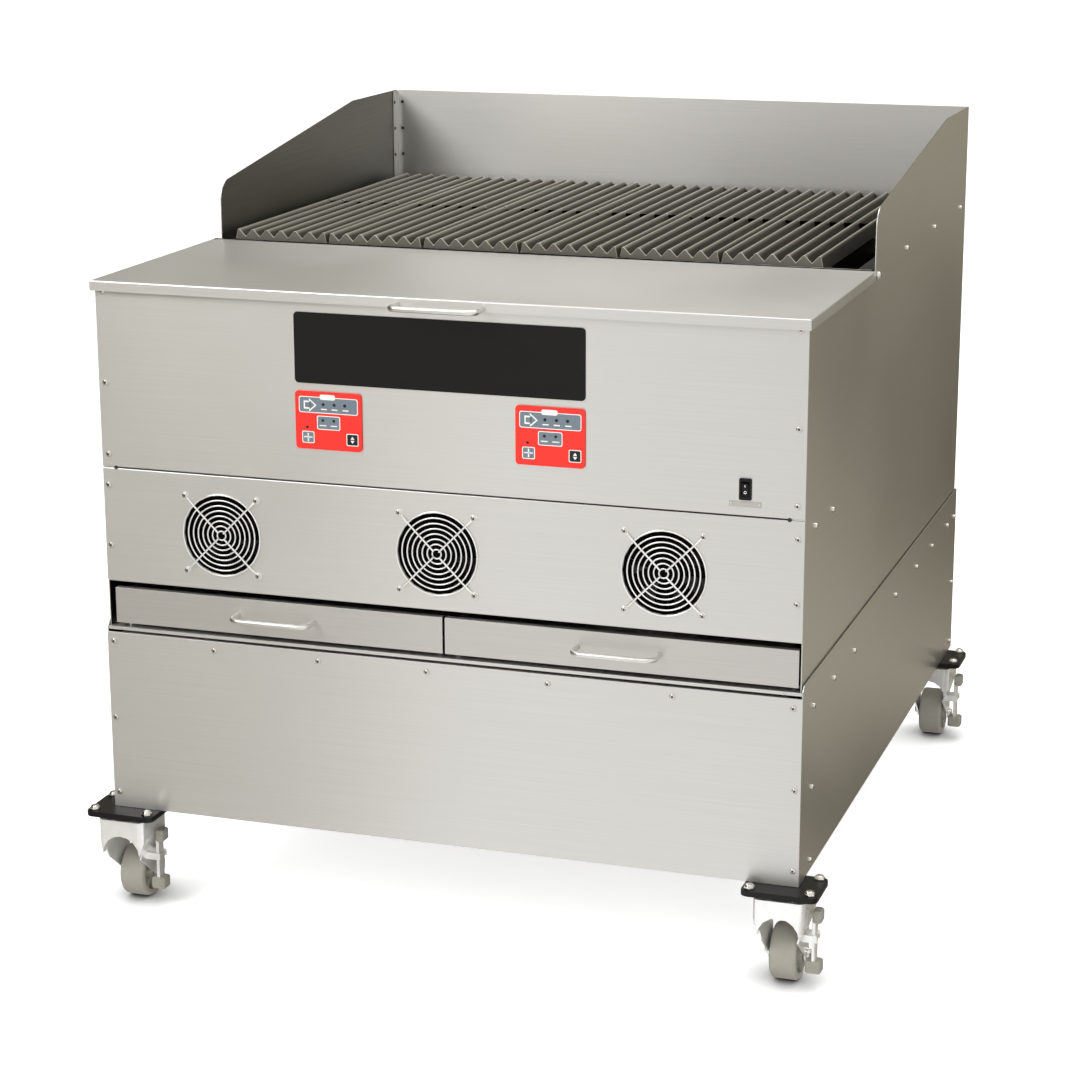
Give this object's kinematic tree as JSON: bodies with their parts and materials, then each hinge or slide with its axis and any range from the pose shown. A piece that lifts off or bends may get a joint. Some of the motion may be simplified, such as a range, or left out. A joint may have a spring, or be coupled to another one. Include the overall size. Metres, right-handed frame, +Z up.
{
  "type": "wood-fired charbroiler",
  "caption": "Wood-fired charbroiler on braked castors: hinged hopper lid, auger-fed firebox under iron grates, ash drawers and cooling fans in a stainless cabinet.",
  "frame": {"origin": "on the floor, under the middle of the whole machine's bounding box", "axes": "+X to the right seen from the front, +Y to the back, +Z up; the front with the fans, drawers and controllers faces -Y"},
  "size_m": [1.046, 1.1658, 1.041],
  "materials": {
    "brushed_steel": "brushed stainless sheet",
    "inner_steel": "dull sheet steel inside the cabinet",
    "polished_steel": "polished",
    "cast_iron": "raw casting",
    "black_paint": "satin black paint",
    "black_plastic": "moulded",
    "red_overlay": "printed membrane face",
    "wheel_rubber": "smooth tread",
    "lever_steel": "grey foot lever"
  },
  "bodies": {
    "cabinet": {"base_left_panel": "brushed_steel", "base_right_panel": "brushed_steel", "base_front_panel": "brushed_steel", "base_back_panel": "brushed_steel", "base_floor": "inner_steel", "drawer_deck": "brushed_steel", "left_side_panel": "brushed_steel", "right_side_panel": "brushed_steel", "back_panel": "brushed_steel", "control_panel": "brushed_steel", "fan_panel": "brushed_steel", "left_controller": "red_overlay", "right_controller": "red_overlay", "switch_bezel": "black_plastic", "left_fan_guard": "polished_steel", "middle_fan_guard": "polished_steel", "right_fan_guard": "polished_steel", "name_plate": "black_paint", "hopper": "inner_steel", "left_auger_tube": "inner_steel", "right_auger_tube": "inner_steel", "firebox": "inner_steel", "left_burn_pot": "cast_iron", "left_flame_deflector": "inner_steel", "right_burn_pot": "cast_iron", "right_flame_deflector": "inner_steel", "grate_1": "cast_iron", "grate_2": "cast_iron", "grate_3": "cast_iron", "grate_4": "cast_iron", "grate_5": "cast_iron", "grate_6": "cast_iron", "front_left_castor_plate": "black_paint", "front_right_castor_plate": "black_paint", "back_left_castor_plate": "black_paint", "back_right_castor_plate": "black_paint"},
    "lid": {"lid": "brushed_steel", "lid_handle": "polished_steel"},
    "left_drawer": {"left_drawer": "brushed_steel", "left_drawer_pull": "polished_steel"},
    "right_drawer": {"right_drawer": "brushed_steel", "right_drawer_pull": "polished_steel"},
    "power_rocker": {"power_rocker": "black_plastic"},
    "left_fan_rotor": {"left_fan_rotor": "black_plastic"},
    "middle_fan_rotor": {"middle_fan_rotor": "black_plastic"},
    "right_fan_rotor": {"right_fan_rotor": "black_plastic"},
    "left_auger": {"left_auger": "inner_steel"},
    "right_auger": {"right_auger": "inner_steel"},
    "front_left_castor_fork": {"front_left_castor_fork": "polished_steel"},
    "front_left_wheel": {"front_left_wheel": "wheel_rubber"},
    "front_left_brake_lever": {"front_left_brake_lever": "lever_steel"},
    "front_right_castor_fork": {"front_right_castor_fork": "polished_steel"},
    "front_right_wheel": {"front_right_wheel": "wheel_rubber"},
    "front_right_brake_lever": {"front_right_brake_lever": "lever_steel"},
    "back_left_castor_fork": {"back_left_castor_fork": "polished_steel"},
    "back_left_wheel": {"back_left_wheel": "wheel_rubber"},
    "back_left_brake_lever": {"back_left_brake_lever": "lever_steel"},
    "back_right_castor_fork": {"back_right_castor_fork": "polished_steel"},
    "back_right_wheel": {"back_right_wheel": "wheel_rubber"},
    "back_right_brake_lever": {"back_right_brake_lever": "lever_steel"}
  },
  "joints": [
    {"name": "lid_hinge", "type": "hinge", "parent": "cabinet", "child": "lid", "pos_m": [0, -0.1486, 0.882], "axis": [-1, 0, 0], "range_deg": [0, 90]},
    {"name": "left_drawer_slide", "type": "slide", "parent": "cabinet", "child": "left_drawer", "axis": [0, -1, 0], "range_m": [0, 0.6]},
    {"name": "right_drawer_slide", "type": "slide", "parent": "cabinet", "child": "right_drawer", "axis": [0, -1, 0], "range_m": [0, 0.6]},
    {"name": "power_rocker_tilt", "type": "hinge", "parent": "cabinet", "child": "power_rocker", "pos_m": [0.4115, -0.5394, 0.6685], "axis": [-1, 0, 0], "range_deg": [0, 18]},
    {"name": "left_fan_spin", "type": "hinge", "parent": "cabinet", "child": "left_fan_rotor", "pos_m": [-0.314, -0.5206, 0.5496], "axis": [0, 1, 0], "continuous": true},
    {"name": "middle_fan_spin", "type": "hinge", "parent": "cabinet", "child": "middle_fan_rotor", "pos_m": [-0.004, -0.5206, 0.5496], "axis": [0, 1, 0], "continuous": true},
    {"name": "right_fan_spin", "type": "hinge", "parent": "cabinet", "child": "right_fan_rotor", "pos_m": [0.306, -0.5206, 0.5496], "axis": [0, 1, 0], "continuous": true},
    {"name": "left_auger_turn", "type": "hinge", "parent": "cabinet", "child": "left_auger", "pos_m": [-0.25, -0.2106, 0.673], "axis": [0, 1, 0], "continuous": true},
    {"name": "right_auger_turn", "type": "hinge", "parent": "cabinet", "child": "right_auger", "pos_m": [0.25, -0.2106, 0.673], "axis": [0, 1, 0], "continuous": true},
    {"name": "front_left_castor_swivel", "type": "hinge", "parent": "cabinet", "child": "front_left_castor_fork", "pos_m": [-0.472, -0.5366, 0.128], "axis": [0, 0, 1], "continuous": true},
    {"name": "front_left_wheel_roll", "type": "hinge", "parent": "front_left_castor_fork", "child": "front_left_wheel", "pos_m": [-0.472, -0.5066, 0.0375], "axis": [1, 0, 0], "continuous": true},
    {"name": "front_left_brake_tilt", "type": "hinge", "parent": "front_left_castor_fork", "child": "front_left_brake_lever", "pos_m": [-0.4315, -0.5306, 0.072], "axis": [0, 1, 0], "range_deg": [0, 4.5]},
    {"name": "front_right_castor_swivel", "type": "hinge", "parent": "cabinet", "child": "front_right_castor_fork", "pos_m": [0.472, -0.5366, 0.128], "axis": [0, 0, 1], "continuous": true},
    {"name": "front_right_wheel_roll", "type": "hinge", "parent": "front_right_castor_fork", "child": "front_right_wheel", "pos_m": [0.472, -0.5066, 0.0375], "axis": [1, 0, 0], "continuous": true},
    {"name": "front_right_brake_tilt", "type": "hinge", "parent": "front_right_castor_fork", "child": "front_right_brake_lever", "pos_m": [0.5125, -0.5306, 0.072], "axis": [0, 1, 0], "range_deg": [0, 4.5]},
    {"name": "back_left_castor_swivel", "type": "hinge", "parent": "cabinet", "child": "back_left_castor_fork", "pos_m": [-0.472, 0.5154, 0.128], "axis": [0, 0, 1], "continuous": true},
    {"name": "back_left_wheel_roll", "type": "hinge", "parent": "back_left_castor_fork", "child": "back_left_wheel", "pos_m": [-0.472, 0.5454, 0.0375], "axis": [1, 0, 0], "continuous": true},
    {"name": "back_left_brake_tilt", "type": "hinge", "parent": "back_left_castor_fork", "child": "back_left_brake_lever", "pos_m": [-0.4315, 0.5214, 0.072], "axis": [0, 1, 0], "range_deg": [0, 4.5]},
    {"name": "back_right_castor_swivel", "type": "hinge", "parent": "cabinet", "child": "back_right_castor_fork", "pos_m": [0.472, 0.5154, 0.128], "axis": [0, 0, 1], "continuous": true},
    {"name": "back_right_wheel_roll", "type": "hinge", "parent": "back_right_castor_fork", "child": "back_right_wheel", "pos_m": [0.472, 0.5454, 0.0375], "axis": [1, 0, 0], "continuous": true},
    {"name": "back_right_brake_tilt", "type": "hinge", "parent": "back_right_castor_fork", "child": "back_right_brake_lever", "pos_m": [0.5125, 0.5214, 0.072], "axis": [0, 1, 0], "range_deg": [0, 4.5]}
  ]
}
